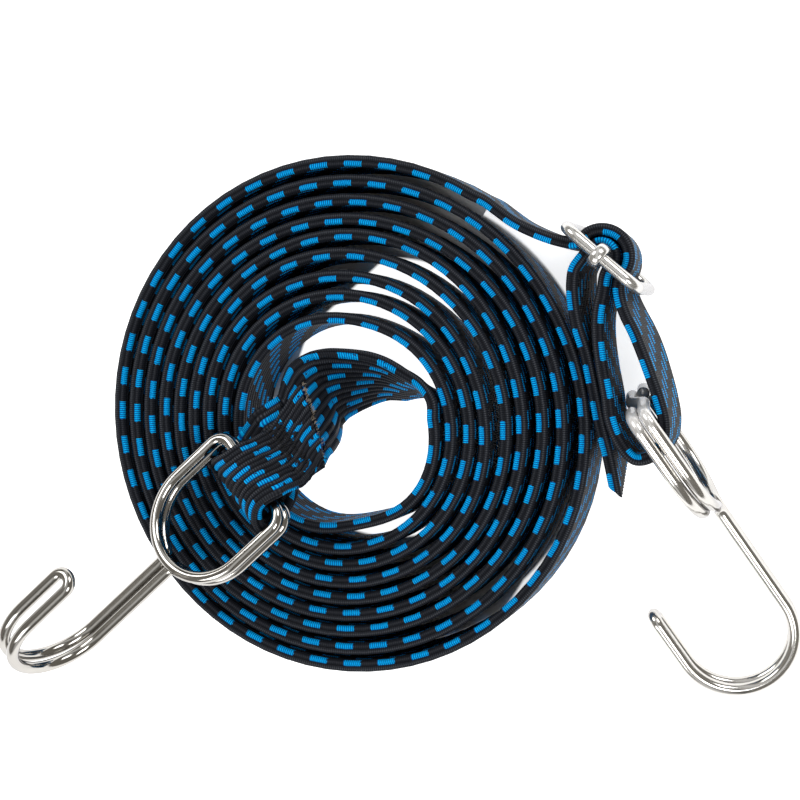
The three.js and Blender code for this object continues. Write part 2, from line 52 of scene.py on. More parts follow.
# Camera, floor and light
cameraView = {
    "place": (0.12095, 0.02616, 0.500),  # metres
    "looksAt": (-0.00172, 0.00643, 0.025),
    "angle": 24.51,  # degrees across the picture
}
studio = {
    "floorSize": 3.0,
    "floorDrop": 0.0003,
    "floorGlow": 0.75,  # painted light: the paper itself glows, as a light table does; the glow is left off under the wound band as painted shade between its turns
    "glowDisc": (-0.0105, 0.006, 0.0396),  # x, y and radius of the lit paper inside the coil
    "glowCuts": [  # lines that cut the disc: way out, distance
        (-0.94, 0.34, 0.0418),
        (-0.665, 0.747, 0.0425),
    ],
    "glowBoost": 1.35,  # of that disc over the open paper
    "glowSlit": (0.74, 0.058, 0.0026),  # lit slit inside the outer turn: turn, half span, width
    "slitFull": 0.6,  # share of the half span where the slit has its full width
    "glowEdge": 0.0008,
    "paperTones": [(0.90, 0.90, 0.90, 1), (0.94, 0.94, 0.94, 1)],
    "paperRoughness": 0.9,
    "worldLight": 1.0,
    "paleWall": (0.80, 0.80, 0.79, 1),
    "brownWall": (0.24, 0.225, 0.20, 1),
    "brownFrom": (-0.05, 0.3),  # sideways, from pale to brown
    "greyWall": (0.30, 0.285, 0.26, 1),
    "greyFrom": (-0.2, -0.34),  # far to the left
    "flags": [(0.20, 0.04), (-0.50, 0.035)],  # sideways place and half width of each black flag
    "flagTone": (0.02, 0.019, 0.018, 1),
    "flagCore": 0.7,  # share of the half width that is fully black
    "softboxes": [  # place, size, power
        ((-0.55, 0.45, 0.70), 0.45, 3.6),
        ((0.45, 0.60, 0.65), 0.40, 3.1),
        ((-0.35, -0.65, 0.65), 0.45, 3.1),
        ((0.42, -0.32, 0.90), 0.35, 3.6),
    ],
}


def setCamera():
    lens = bpy.data.cameras.new("camera")
    lens.angle = math.radians(cameraView["angle"])
    lens.clip_start = 0.01
    camera = bpy.data.objects.new("camera", lens)
    place = Vector(cameraView["place"])
    back = (place - Vector(cameraView["looksAt"])).normalized()
    right = Vector((0, 1, 0)).cross(back).normalized()
    turn = Matrix((right, back.cross(right), back)).transposed().to_4x4()
    camera.matrix_world = Matrix.Translation(place) @ turn
    bpy.context.scene.collection.objects.link(camera)
    bpy.context.scene.camera = camera


def linkMesh(bm, name, material):
    mesh = bpy.data.meshes.new(name)
    for face in bm.faces:
        face.smooth = True
    bm.to_mesh(mesh)
    bm.free()
    piece = bpy.data.objects.new(name, mesh)
    bpy.context.scene.collection.objects.link(piece)
    mesh.materials.append(material)
    return piece


def startMaterial(name):
    material = bpy.data.materials.new(name)
    material.use_nodes = True
    tree = material.node_tree
    return material, tree, tree.nodes["Principled BSDF"]


def feed(tree, socket, value):  # joins a socket, or sets it to a plain value
    if isinstance(value, bpy.types.NodeSocket):
        tree.links.new(value, socket)
    else:
        socket.default_value = value


def calc(tree, operation, first, second=0.0, third=0.0):
    node = tree.nodes.new("ShaderNodeMath")
    node.operation = operation
    for socket, value in zip(node.inputs, (first, second, third)):
        feed(tree, socket, value)
    return node.outputs[0]


def mixColour(tree, share, first, second):
    node = tree.nodes.new("ShaderNodeMix")
    node.data_type = "RGBA"
    feed(tree, node.inputs["Factor"], share)
    feed(tree, node.inputs[6], first)  # the colour sockets A and B
    feed(tree, node.inputs[7], second)
    return node.outputs[2]


def speckle(tree, scale, detail):
    node = tree.nodes.new("ShaderNodeTexNoise")
    node.inputs["Scale"].default_value = scale
    node.inputs["Detail"].default_value = detail
    place = tree.nodes.new("ShaderNodeTexCoord").outputs["Object"]
    tree.links.new(place, node.inputs["Vector"])
    return node.outputs["Fac"]


def rampBetween(tree, value, low, high):  # 0 at low, 1 at high
    node = tree.nodes.new("ShaderNodeMapRange")
    feed(tree, node.inputs["Value"], value)
    node.inputs["From Min"].default_value = low
    node.inputs["From Max"].default_value = high
    return node.outputs["Result"]


def raiseSurface(tree, shader, height, distance):
    bump = tree.nodes.new("ShaderNodeBump")
    bump.inputs["Distance"].default_value = distance
    bump.inputs["Strength"].default_value = 1.0
    tree.links.new(height, bump.inputs["Height"])
    tree.links.new(bump.outputs["Normal"], shader.inputs["Normal"])


def paintedPaperLight(tree):
    # painted light and shade on the floor: 1 where the paper glows, outside the coil's outer turn, in a
    # slit inside it and in the open middle; 0 under the wound band, painted shade between its turns
    split = tree.nodes.new("ShaderNodeSeparateXYZ")
    tree.links.new(tree.nodes.new("ShaderNodeTexCoord").outputs["Object"], split.inputs[0])

    def do(*step):
        return calc(tree, *step)

    def offsets(x, y):
        dx = do("SUBTRACT", split.outputs["X"], x)
        dy = do("SUBTRACT", split.outputs["Y"], y)
        return dx, dy

    def distance(dx, dy):
        squares = do("MULTIPLY_ADD", dx, dx, do("MULTIPLY", dy, dy))
        return do("SQRT", squares)

    edge = studio["glowEdge"]
    dx, dy = offsets(toFrame.x * mm, toFrame.y * mm)
    way = do("SUBTRACT", do("ARCTAN2", dy, dx), math.radians(coil["startAngle"]))
    turn = do("FRACT", do("MULTIPLY_ADD", way, 0.5 / math.pi, 2.0))  # positive
    outerRadius = (coil["innerRadius"] + coil["pitch"] * coil["turns"]) * mm
    outerTurn = do("MULTIPLY_ADD", turn, -coil["pitch"] * mm, outerRadius)
    slitTurn, slitSpan, slitWidth = studio["glowSlit"]
    offSlit = do("ABSOLUTE", do("SUBTRACT", turn, slitTurn))
    slit = rampBetween(tree, offSlit, slitSpan, slitSpan * studio["slitFull"])
    outerTurn = do("MULTIPLY_ADD", slit, -slitWidth, outerTurn)
    outside = rampBetween(tree, do("SUBTRACT", distance(dx, dy), outerTurn), 0.0, edge)
    x, y, radius = studio["glowDisc"]
    inside = rampBetween(tree, distance(*offsets(x, y)), radius, radius - edge)
    for wayX, wayY, reach in studio["glowCuts"]:
        rightPart = do("MULTIPLY", split.outputs["X"], wayX)
        along = do("MULTIPLY_ADD", split.outputs["Y"], wayY, rightPart)
        inside = do("MULTIPLY", inside, rampBetween(tree, along, reach, reach - edge))
    return do("MAXIMUM", outside, do("MULTIPLY", inside, studio["glowBoost"]))


def paperFloor():
    material, tree, shader = startMaterial("paleFloor")
    colour = mixColour(tree, speckle(tree, 3.0, 2.0), *studio["paperTones"])
    tree.links.new(colour, shader.inputs["Base Color"])
    shader.inputs["Roughness"].default_value = studio["paperRoughness"]
    shader.inputs["Emission Color"].default_value = (1, 1, 1, 1)
    glow = calc(tree, "MULTIPLY", paintedPaperLight(tree), studio["floorGlow"])
    tree.links.new(glow, shader.inputs["Emission Strength"])
    bm = bmesh.new()
    bmesh.ops.create_grid(bm, x_segments=4, y_segments=4, size=studio["floorSize"])
    bmesh.ops.translate(bm, verts=bm.verts, vec=(0, 0, -studio["floorDrop"]))
    floor = linkMesh(bm, "floor", material)


def setLights():
    for number, (place, size, power) in enumerate(studio["softboxes"]):
        lamp = bpy.data.lights.new(f"softbox{number}", "AREA")
        lamp.size = size
        lamp.energy = power
        box = bpy.data.objects.new(f"softbox{number}", lamp)
        box.location = place
        box.rotation_euler = Vector(place).to_track_quat("Z", "Y").to_euler()
        bpy.context.scene.collection.objects.link(box)
    world = bpy.data.worlds.new("studio")
    world.use_nodes = True
    bpy.context.scene.world = world
    tree = world.node_tree
    background = tree.nodes["Background"]
    direction = tree.nodes.new("ShaderNodeTexCoord").outputs["Generated"]
    split = tree.nodes.new("ShaderNodeSeparateXYZ")
    tree.links.new(direction, split.inputs[0])
    sideways = split.outputs["X"]
    brown = rampBetween(tree, sideways, *studio["brownFrom"])
    grey = rampBetween(tree, sideways, *studio["greyFrom"])
    room = mixColour(tree, brown, studio["paleWall"], studio["brownWall"])
    room = mixColour(tree, grey, room, studio["greyWall"])
    for flag, flagHalf in studio["flags"]:
        offFlag = calc(tree, "ABSOLUTE", calc(tree, "SUBTRACT", sideways, flag))
        clear = rampBetween(tree, offFlag, flagHalf * studio["flagCore"], flagHalf)
        room = mixColour(tree, clear, studio["flagTone"], room)
    tree.links.new(room, background.inputs["Color"])
    background.inputs["Strength"].default_value = studio["worldLight"]
    bpy.context.scene.view_settings.view_transform = "Standard"


setCamera()
setLights()
print("camera and lights set")


# Woven band: thirteen ribs, each a cord on either face, with blue dashes on every other cord
band = {
    "width": 25.0,
    "thickness": 3.1,
    "ribs": 13,
    "grooveGrip": 1.12,  # how far a cord's oval reaches past half a rib
    "outerDepth": 0.55,  # share of the groove's depth left on the outer face
    "sewnDepth": 1.1,
    "dashPitch": 9.7,
    "dashShare": 0.505,
    "dashShift": 0.1175,  # of the pitch, from one rib to the next
    "ridgePitch": 0.57,
}
halfWidth = band["width"] / 2
yarn = {
    "ridgeLean": 0.22,  # of a ridge's pitch, across a rib
    "dashTrim": 0.035,  # of the pitch, taken off each dash
    "dashRound": 0.03,  # given back on its crest
    "dashFray": 0.05,
    "linePlace": 0.27,  # of a rib, from the crest to each thin line on the outer face
    "lineHalf": 0.19,
    "cover": 0.30,  # share of the sewn end's dashes that is broken up, and how much more at the tacks
    "tackCover": 0.24,
    "grooveShadeCrest": 0.16,  # crest below which a groove is darkened, as painted shade
    "charcoal": [(0.0040, 0.0050, 0.0080, 1), (0.0075, 0.0090, 0.0130, 1)],
    # painted highlight: the grey on the charcoal's ridges
    "charcoalRidgeHighlight": (0.062, 0.067, 0.078, 1),
    # painted shade: the charcoal in its grooves
    "charcoalGrooveShade": (0.0015, 0.002, 0.0035, 1),
    "blue": [(0.0, 0.36, 0.80, 1), (0.0, 0.45, 0.90, 1)],
    # painted shade: the blue in the valleys between its ridges
    "blueValleyShade": (0.0, 0.075, 0.32, 1),
    # painted shade: the blue in its grooves
    "blueGrooveShade": (0.0, 0.03, 0.16, 1),
    "fuzz": (2600.0, 3.0),  # scale and detail of each speckle
    "patches": (620.0, 1.0),
    "blotch": (160.0, 2.0),
    "crestFall": 1.6,
    "bead": (0.95, 0.17),  # each pair: what a full share adds, and what is always there
    "highlightSpeckle": (0.9, 0.45),
    "ribHighlight": (-0.55, 0.95),
    "blueRidge": (0.1, 0.75),  # ridge heights between which the blue goes from its painted valley shade to its pale tone
    "roughness": (0.12, 0.46),
    "height": (0.5, 0.5),
    "fuzzHeight": 0.4,
    "sheen": 0.07,
    "relief": 0.00018,  # metres
}


def bandProfile(outerSide, outerDepth):
    # the section's points: across the faces, along the width, rib, face (1 outer, -1 inner), crest
    pitch = band["width"] / band["ribs"]
    cord = band["thickness"] / 4
    last = (band["ribs"] - 1) // 2
    reach = pitch / 2 * band["grooveGrip"]
    edge = last * pitch + 0.55 * pitch / 2  # where the two cords of an outer rib meet
    # crest is 1 on a cord's top, where the material paints a highlight, and 0 in a groove, where it
    # paints shade
    edgeTurns = ((28, 0.3), (55, 0.25), (74, 0.5), (90, 1.0), (106, 0.5), (130, 0.2))  # degrees, crest
    faceSteps = ((0.55, 0.2), (1.0, 0.0), (1.45, 0.2), (2.0, 1.0))  # half ribs, crest

    def onEdge(way, turn, crest, side):
        angle = math.radians(turn)
        y = last * pitch + pitch / 2 * math.sin(angle)
        return cord + cord * math.cos(angle), way * y, way * last, side, crest

    def onFace(offset, depthShare):  # height of a cord's oval, offset from its crest
        sink = cord * (1 - math.sqrt(1 - (offset / reach) ** 2))
        return 2 * cord - sink * depthShare

    profile = []
    for sign in (1, -1):
        depthShare = outerDepth if sign == outerSide else 1.0
        side = sign * outerSide
        half = [(0.0, -edge, -last, 0, 0.0)]
        half += [onEdge(-1, turn, crest, side) for turn, crest in reversed(edgeTurns)]
        half.append((2 * cord, -last * pitch, -last, side, 0.6))
        for rib in range(-last, last):
            for offset, crest in faceSteps:
                near = offset if offset <= 1 else offset - 2
                y = (rib + offset / 2) * pitch
                half.append((onFace(near * pitch / 2, depthShare), y, rib + offset / 2, side, crest))
        half += [onEdge(1, turn, crest, side) for turn, crest in edgeTurns]
        if sign == 1:
            profile += half
        else:
            top = (0.0, edge, last, 0, 0.0)
            profile += [top] + [(-x, *rest) for x, *rest in reversed(half[1:])]
    return profile


def wrapBand(name, stations, profile, material, warp=None, cut=None):
    # a grid rolled round the section and laid through the stations: middle, face, width, run
    around = len(profile)
    rows = len(stations) - 1
    bm = bmesh.new()
    layers = [bm.verts.layers.float.new(label) for label in ("run", "rib", "face", "crest", "sewn")]
    bmesh.ops.create_grid(bm, x_segments=around, y_segments=rows, size=0.5)
    for vert in bm.verts:
        column = round((vert.co.x + 0.5) * around) % around
        row = round((vert.co.y + 0.5) * rows)
        middle, face, across, run = stations[row]
        x, y, rib, side, crest = profile[column]
        shift = Vector((0, 0, 0))
        sewn = 0.0
        if warp:
            y, shift, sewn = warp(row, y)
        vert.co = (middle + face * x + across * y + shift) * mm
        for layer, value in zip(layers, (run, rib, side, crest, sewn)):
            vert[layer] = value
    bmesh.ops.remove_doubles(bm, verts=bm.verts, dist=sameSpot)
    if cut:
        point, normal, reach = cut
        near = [f for f in bm.faces if (f.calc_center_median() - point).length < reach]
        # a dictionary keeps their order the same on every run
        edges = dict.fromkeys(edge for face in near for edge in face.edges)
        verts = dict.fromkeys(vert for face in near for vert in face.verts)
        bmesh.ops.bisect_plane(
            bm, geom=near + list(edges) + list(verts), plane_co=point, plane_no=normal, clear_outer=True
        )
    ends = [edge for edge in bm.edges if edge.is_boundary]
    for edge in ends:
        edge.smooth = False
    bmesh.ops.holes_fill(bm, edges=ends, sides=0)
    bmesh.ops.recalc_face_normals(bm, faces=bm.faces)
    return linkMesh(bm, name, material)


def wovenBand(name, outerLines):
    # charcoal ribs with ridged blue dashes; outerLines makes the outer face's dashes pairs of thin lines
    material, tree, shader = startMaterial(name)

    def do(*step):
        return calc(tree, *step)

    def reading(attribute):
        node = tree.nodes.new("ShaderNodeAttribute")
        node.attribute_name = attribute
        return node.outputs["Fac"]

    run = reading("run")
    rib = reading("rib")
    outer = do("GREATER_THAN", reading("face"), 0.0)
    ribNumber = do("ROUND", rib)
    offRib = do("SUBTRACT", rib, ribNumber)
    odd = do("MODULO", do("ABSOLUTE", ribNumber), 2.0)
    even = do("SUBTRACT", 1.0, odd)
    swap = do("MULTIPLY", outer, do("SUBTRACT", odd, even))
    dashedRib = do("ADD", even, swap)

    lean = do("MULTIPLY", offRib, yarn["ridgeLean"] * band["ridgePitch"])
    place = do("ADD", run, lean)
    dashes = do("DIVIDE", place, band["dashPitch"])
    shifted = do("MULTIPLY_ADD", ribNumber, band["dashShift"], dashes)
    crest = reading("crest")
    fuzz = speckle(tree, *yarn["fuzz"])
    roundEnd = do("MULTIPLY_ADD", crest, yarn["dashRound"], band["dashShare"] - yarn["dashTrim"])
    dashEnd = do("MULTIPLY_ADD", fuzz, yarn["dashFray"], roundEnd)
    onDash = do("LESS_THAN", do("FRACT", shifted), dashEnd)
    blue = do("MULTIPLY", dashedRib, onDash)
    if outerLines:
        offCrest = do("ABSOLUTE", offRib)
        offLine = do("ABSOLUTE", do("SUBTRACT", offCrest, yarn["linePlace"]))
        line = do("LESS_THAN", offLine, yarn["lineHalf"])
        lineOrPlain = do("MAXIMUM", line, do("SUBTRACT", 1.0, outer))
        blue = do("MULTIPLY", blue, lineOrPlain)
    else:  # the tacks' thread breaks the dashes up
        patches = speckle(tree, *yarn["patches"])
        covered = do("MULTIPLY_ADD", reading("sewn"), yarn["tackCover"], yarn["cover"])
        blue = do("MULTIPLY", blue, do("GREATER_THAN", patches, covered))

    ridges = do("MULTIPLY", do("DIVIDE", place, band["ridgePitch"]), 2 * math.pi)
    ridge = do("MULTIPLY_ADD", do("SINE", ridges), 0.5, 0.5)
    blotch = speckle(tree, *yarn["blotch"])
    # painted shade: the colour darkens in the grooves between cords
    groove = rampBetween(tree, crest, yarn["grooveShadeCrest"], 0.0)

    darkYarn = mixColour(tree, blotch, *yarn["charcoal"])
    # painted highlight: grey beads on the charcoal's ridges, brightest along each cord's crest and
    # fainter on the dashed ribs
    crestHighlight = do("POWER", crest, yarn["crestFall"])
    bead = do("MULTIPLY", ridge, do("MULTIPLY_ADD", crestHighlight, *yarn["bead"]))
    highlightSpeckle = do("MULTIPLY", bead, do("MULTIPLY_ADD", fuzz, *yarn["highlightSpeckle"]))
    highlightShare = do("MULTIPLY", highlightSpeckle, do("MULTIPLY_ADD", dashedRib, *yarn["ribHighlight"]))
    highlightedCharcoal = mixColour(tree, highlightShare, darkYarn, yarn["charcoalRidgeHighlight"])
    charcoal = mixColour(tree, groove, highlightedCharcoal, yarn["charcoalGrooveShade"])
    paleYarn = mixColour(tree, blotch, *yarn["blue"])
    # painted shade: the blue darkens in the valleys between its ridges
    pale = rampBetween(tree, ridge, *yarn["blueRidge"])
    ridgeShadedBlue = mixColour(tree, pale, yarn["blueValleyShade"], paleYarn)
    # painted shade for the blue in its grooves, left off the outer face's thin lines
    sunk = groove
    if outerLines:
        sunk = do("MULTIPLY", groove, do("SUBTRACT", 1.0, outer))
    grooveShadedBlue = mixColour(tree, sunk, ridgeShadedBlue, yarn["blueGrooveShade"])
    colour = mixColour(tree, blue, charcoal, grooveShadedBlue)
    tree.links.new(colour, shader.inputs["Base Color"])

    rough = do("MULTIPLY_ADD", blue, *yarn["roughness"])
    tree.links.new(rough, shader.inputs["Roughness"])
    shader.inputs["Specular IOR Level"].default_value = yarn["sheen"]
    yarnHeight = do("MULTIPLY_ADD", blue, *yarn["height"])
    weave = do("MULTIPLY", ridge, yarnHeight)
    height = do("MULTIPLY_ADD", fuzz, yarn["fuzzHeight"], weave)
    raiseSurface(tree, shader, height, yarn["relief"])
    return material


coilBand = wovenBand("wovenBand", True)
sewnBand = wovenBand("wovenBandSewn", False)
print("woven materials ready")


# Smooth route through given points, with even stations along it
def weigh(t, first, last, a, b):  # a at first, b at last
    return a * ((last - t) / (last - first)) + b * ((t - first) / (last - first))


def smoothRoute(points, step):
    pieces = 24  # between two chosen points
    points = [2 * points[0] - points[1], *points, 2 * points[-1] - points[-2]]
    dense = []
    for p0, p1, p2, p3 in zip(points, points[1:], points[2:], points[3:]):
        knots = [0.0]
        for a, b in ((p0, p1), (p1, p2), (p2, p3)):
            knots.append(knots[-1] + math.sqrt((b - a).length))
        t0, t1, t2, t3 = knots
        for i in range(pieces):
            t = t1 + (t2 - t1) * i / pieces
            a1 = weigh(t, t0, t1, p0, p1)
            a2 = weigh(t, t1, t2, p1, p2)
            a3 = weigh(t, t2, t3, p2, p3)
            b1 = weigh(t, t0, t2, a1, a2)
            b2 = weigh(t, t1, t3, a2, a3)
            dense.append(weigh(t, t1, t2, b1, b2))
    dense.append(points[-2])
    return evenSteps(dense, step)


def runAlong(points):
    runs = [0.0]
    for a, b in zip(points, points[1:]):
        runs.append(runs[-1] + (b - a).length)
    return runs


def evenSteps(points, step):
    runs = runAlong(points)
    count = max(2, round(runs[-1] / step))
    even = []
    at = 0
    for i in range(count + 1):
        run = runs[-1] * i / count
        while at < len(runs) - 2 and runs[at + 1] < run:
            at += 1
        share = (run - runs[at]) / (runs[at + 1] - runs[at])
        even.append(points[at].lerp(points[at + 1], min(share, 1.0)))
    return even


def headings(points):
    found = []
    for i in range(len(points)):
        ahead = points[min(i + 1, len(points) - 1)]
        behind = points[max(i - 1, 0)]
        found.append((ahead - behind).normalized())
    return found


def standingStations(points, runSign):
    stations = []
    for point, heading, run in zip(points, headings(points), runAlong(points)):
        level = Vector((heading.x, heading.y, 0)).normalized()
        stations.append((point, level.cross(upwards), upwards, runSign * run))
    return stations


def leaning(station, lean):
    # leans an upright station about its upper edge: degrees that the lower edge moves towards its face
    middle, face, across, run = station
    angle = math.radians(lean)
    swung = across * math.cos(angle) - face * math.sin(angle)
    top = middle + across * halfWidth
    faced = face * math.cos(angle) + across * math.sin(angle)
    return top - swung * halfWidth, faced, swung, run


def easeIn(value, low, high):
    share = min(1.0, max(0.0, (value - low) / (high - low)))
    return share * share * (3 - 2 * share)


def radial(angle):
    return Vector((math.cos(math.radians(angle)), math.sin(math.radians(angle)), 0))


# Coil, counted in turns inward from its outer end
coil = {
    "turns": 8.85,
    "innerRadius": 26.5,
    "pitch": 4.74,
    "drift": Vector((-0.304, -0.312, 0)),  # of the centre, each turn
    "oval": 0.019,
    "ovalAngle": 104,
    "startAngle": 60,
    "stepsPerTurn": 72,
    "lean": (3.0, 58, 28),  # degrees that the lower edges lean in, at which angle, over which span
    "leanFrom": 0.2,  # turns over which the lean sets in
    "bows": [  # slack stretches: turn, half span in turns, how far the band bows out
        (0.77, 0.11, 1.4), (2.7, 0.14, -0.6), (3.8, 0.14, -0.7), (4.05, 0.1, 1.1),
        (5.12, 0.14, 1.1), (5.88, 0.1, -1), (6.22, 0.1, 0.9), (7.22, 0.12, 0.7),
        (8.05, 0.08, -1.2), (8.62, 0.07, -2.2), (8.72, 0.12, 0.9),
    ],
}


def coilPoint(turn):
    angle = coil["startAngle"] + 360 * turn
    radius = coil["innerRadius"] + coil["pitch"] * (coil["turns"] - turn)
    radius *= 1 + coil["oval"] * math.cos(2 * math.radians(angle - coil["ovalAngle"]))
    for middle, span, bow in coil["bows"]:
        radius += bow * math.exp(-(((turn - middle) / span) ** 2))
    return coil["drift"] * turn + radial(angle) * radius + upwards * halfWidth


# Slide: heights and places along its rails (e) and across them (m), from its centre bar
slide = {
    "wire": 3.3,
    "barRadius": 1.5,
    "innerTurn": 3.35,
    "leadCrossing": 6.9,
    "loopCrossing": 7.4,
    "leftPost": -11.5,
    "rightPost": 12.55,
    "lowRail": 3.75,
    "highRail": 34.85,
    "lift": 6.8,
    "corner": 4.0,
    "angle": -40.7,
    "fromCoilEnd": Vector((35, -16.6, 0)),
    "seamHalf": 0.15,
    "step": 0.5,
}
outerEnd = coilPoint(0)
innerEnd = coilPoint(coil["turns"])
slideCentre = outerEnd + slide["fromCoilEnd"]
slideCentre.z = 0
barLow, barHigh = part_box("slide_bar")
pinMiddle = (barLow + barHigh) / (2 * mm)
toFrame = Vector((pinMiddle.x - slideCentre.x, pinMiddle.y - slideCentre.y, 0))
print(f"layout sits {toFrame.x:.3f}, {toFrame.y:.3f} mm from the part's origin")


def inFrame(points):
    return [point + toFrame for point in points]


def slidePoint(e, m, height):
    rails = radial(slide["angle"])
    return slideCentre + rails * e + upwards.cross(rails) * m + upwards * height


paperFloor()
print("floor laid")


def makeCoil():
    steps = round(coil["turns"] * coil["stepsPerTurn"])
    points = inFrame([coilPoint(i * coil["turns"] / steps) for i in range(steps + 1)])
    stations = []
    most, atAngle, span = coil["lean"]
    for i, station in enumerate(standingStations(points, 1)):
        turn = i * coil["turns"] / steps
        off = (coil["startAngle"] + 360 * turn - atAngle + 180) % 360 - 180
        lean = most * math.exp(-((off / span) ** 2)) * easeIn(turn, 0.0, coil["leanFrom"])
        stations.append(leaning(station, -lean))
    piece = wrapBand("strapCoil", stations, bandProfile(1, band["outerDepth"]), coilBand)
    length = stations[-1][3]
    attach(piece, "strap")
    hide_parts("strap_coil")
    print(f"coil wound, {length:.0f} mm of band")
    return length


coilLength = makeCoil()


# Outer run: lead, turn over the slide, loop through the right hook, turn round the bar, cut tail
outerRun = {
    "step": 0.7,
    "lead": [  # from the coil's end
        (0, 0), (3.3, -1.6), (6.7, -4), (11.5, -7.3), (17, -10), (22, -11.9),
    ],
    "leadBend": [(-10.2, -3.6), (-7.8, -2)],  # e and m at the slide
    "loop": [  # from the slide's centre
        (4.7, -7), (4.95, -10.7), (6.35, -14.9), (8.7, -19.6), (11.8, -27.2), (15.2, -36.8),
        (16.5, -42.2), (16.1, -47.1), (13.3, -50.9), (9.3, -51.7), (5.6, -48), (2.9, -41.8),
        (1.95, -35.4), (0.6, -28.5), (-0.4, -21.4), (-0.5, -15), (0.6, -8.6), (1.2, -4.7),
    ],
    "loopLift": 8.9,
    "loopClimb": 1.3,
    "tail": [
        (-5, -0.4), (-7, -3.2), (-7.6, -6.6), (-7.5, -11.1), (-6.5, -17.5), (-4.1, -25.3),
        (-2, -35.5), (-0.6, -43.2), (1.5, -52.1), (3.5, -62.8),
    ],
    "tailEndLift": 0.4,
    "leans": [  # run along the band in mm, degrees that the lower edge swings out
        (0, 0), (36, 0), (46, -3.2), (54, -2.6), (60, 1.2), (66, 3.8), (78, 4.6), (88, 3),
        (98, 1), (106, 0), (174, 0), (182, 4), (194, 4), (206, 0),
    ],
    "leanBlend": 3.0,  # mm either side over which the leans run together
    "tailCutLean": 20,  # degrees: the lower corner is cut back
    "tailCutSlant": 1.2,  # the inner face is cut back, for each mm of thickness
    "tailCutReach": 0.032,  # metres round the tip
}


def halfTurn(fromE, toE, steps):
    centre = (fromE + toE) / 2
    radius = (toE - fromE) / 2
    points = []
    for i in range(steps + 1):
        angle = math.pi * i / steps
        e = centre - radius * math.cos(angle)
        points.append(slidePoint(e, abs(radius) * math.sin(angle), slide["lift"]))
    return points


def outerRoute():
    route = []
    lead = outerRun["lead"]
    for i, (x, y) in enumerate(lead):
        share = i / len(lead)
        lift = slide["lift"] * share * share * (3 - 2 * share)
        route.append(Vector((outerEnd.x + x, outerEnd.y + y, lift)))
    route += [slidePoint(e, m, slide["lift"]) for e, m in outerRun["leadBend"]]
    route += halfTurn(-slide["leadCrossing"], slide["loopCrossing"], 8)
    loop = outerRun["loop"]
    for i, (x, y) in enumerate(loop):
        climb = outerRun["loopClimb"] * math.sin(math.pi * (i + 1) / (len(loop) + 1))
        lift = slide["lift"] + (outerRun["loopLift"] - slide["lift"]) * min(1, climb)
        route.append(slideCentre + Vector((x, y, lift)))
    route += halfTurn(slide["innerTurn"], -slide["innerTurn"], 10)
    tail = outerRun["tail"]
    for i, (x, y) in enumerate(tail):
        share = (i + 1) / len(tail)
        lift = slide["lift"] + (outerRun["tailEndLift"] - slide["lift"]) * share * share
        route.append(slideCentre + Vector((x, y, lift)))
    return [point + upwards * halfWidth for point in route]


def leanAt(run):
    leans = outerRun["leans"]
    for (first, firstLean), (last, lastLean) in zip(leans, leans[1:]):
        if first <= run < last:
            return firstLean + (lastLean - firstLean) * (run - first) / (last - first)
    return 0.0


def swungOut(station):
    run = abs(station[3])
    blend = outerRun["leanBlend"]
    leans = [leanAt(run + blend * share) for share in (-1, -0.5, 0, 0.5, 1)]
    return leaning(station, -sum(leans) / len(leans))


def makeOuterRun():
    points = smoothRoute(inFrame(outerRoute()), outerRun["step"])
    stations = [swungOut(station) for station in standingStations(points, -1)]
    end, face, across, run = stations[-1]
    ahead = across.cross(face)
    lean = math.radians(outerRun["tailCutLean"])
    normal = ahead + face * outerRun["tailCutSlant"] - upwards * math.tan(lean)
    tip = (end + upwards * halfWidth - face * (band["thickness"] / 2)) * mm
    cut = (tip, normal, outerRun["tailCutReach"])
    piece = wrapBand("strapOuterRun", stations, bandProfile(-1, band["outerDepth"]), coilBand, cut=cut)
    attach(piece, "strap")
    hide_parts("strap_lead", "strap_hook_loop", "strap_slide_turn", "strap_tail")
    return stations


outerStations = makeOuterRun()


# Hook wire: x along the ring's bar, y along the shank, z towards the tip
hookWire = {
    "diameter": 3.3,
    "layerStep": 3.5,
    "ringHalf": 15.85,
    "ringLength": 33.4,
    "ringCorner": 4.0,
    "throatRadius": 4.0,
    "hookRadius": 15.3,
    "tipLength": 13.0,
    "tipSpread": 2.7,
    "barEnd": 7.0,
    "barCrossing": 4.0,
    "step": 0.6,
}
rightHook = {
    "bar": Vector((8.6, -37.8, 0)),  # from the slide's centre
    "height": 22.7,
    "shank": 32.6,
    "angle": -56.4,
    "slope": 13,
    "roll": 90,
    "roundness": 7,
}
leftHook = {
    "bar": Vector((-44.9, -15.5, 0)),  # from the coil's inner end
    "rise": 10.2,  # over the coil
    "shank": 30.0,
    "angle": 222.6,
    "slope": -1.5,
    "roll": 20.2,
    "roundness": 15,
}


def arc(centre, radius, first, second, fromAngle, toAngle, steps):
    points = []
    for i in range(steps + 1):
        angle = math.radians(fromAngle + (toAngle - fromAngle) * i / steps)
        points.append(centre + (first * math.cos(angle) + second * math.sin(angle)) * radius)
    return points


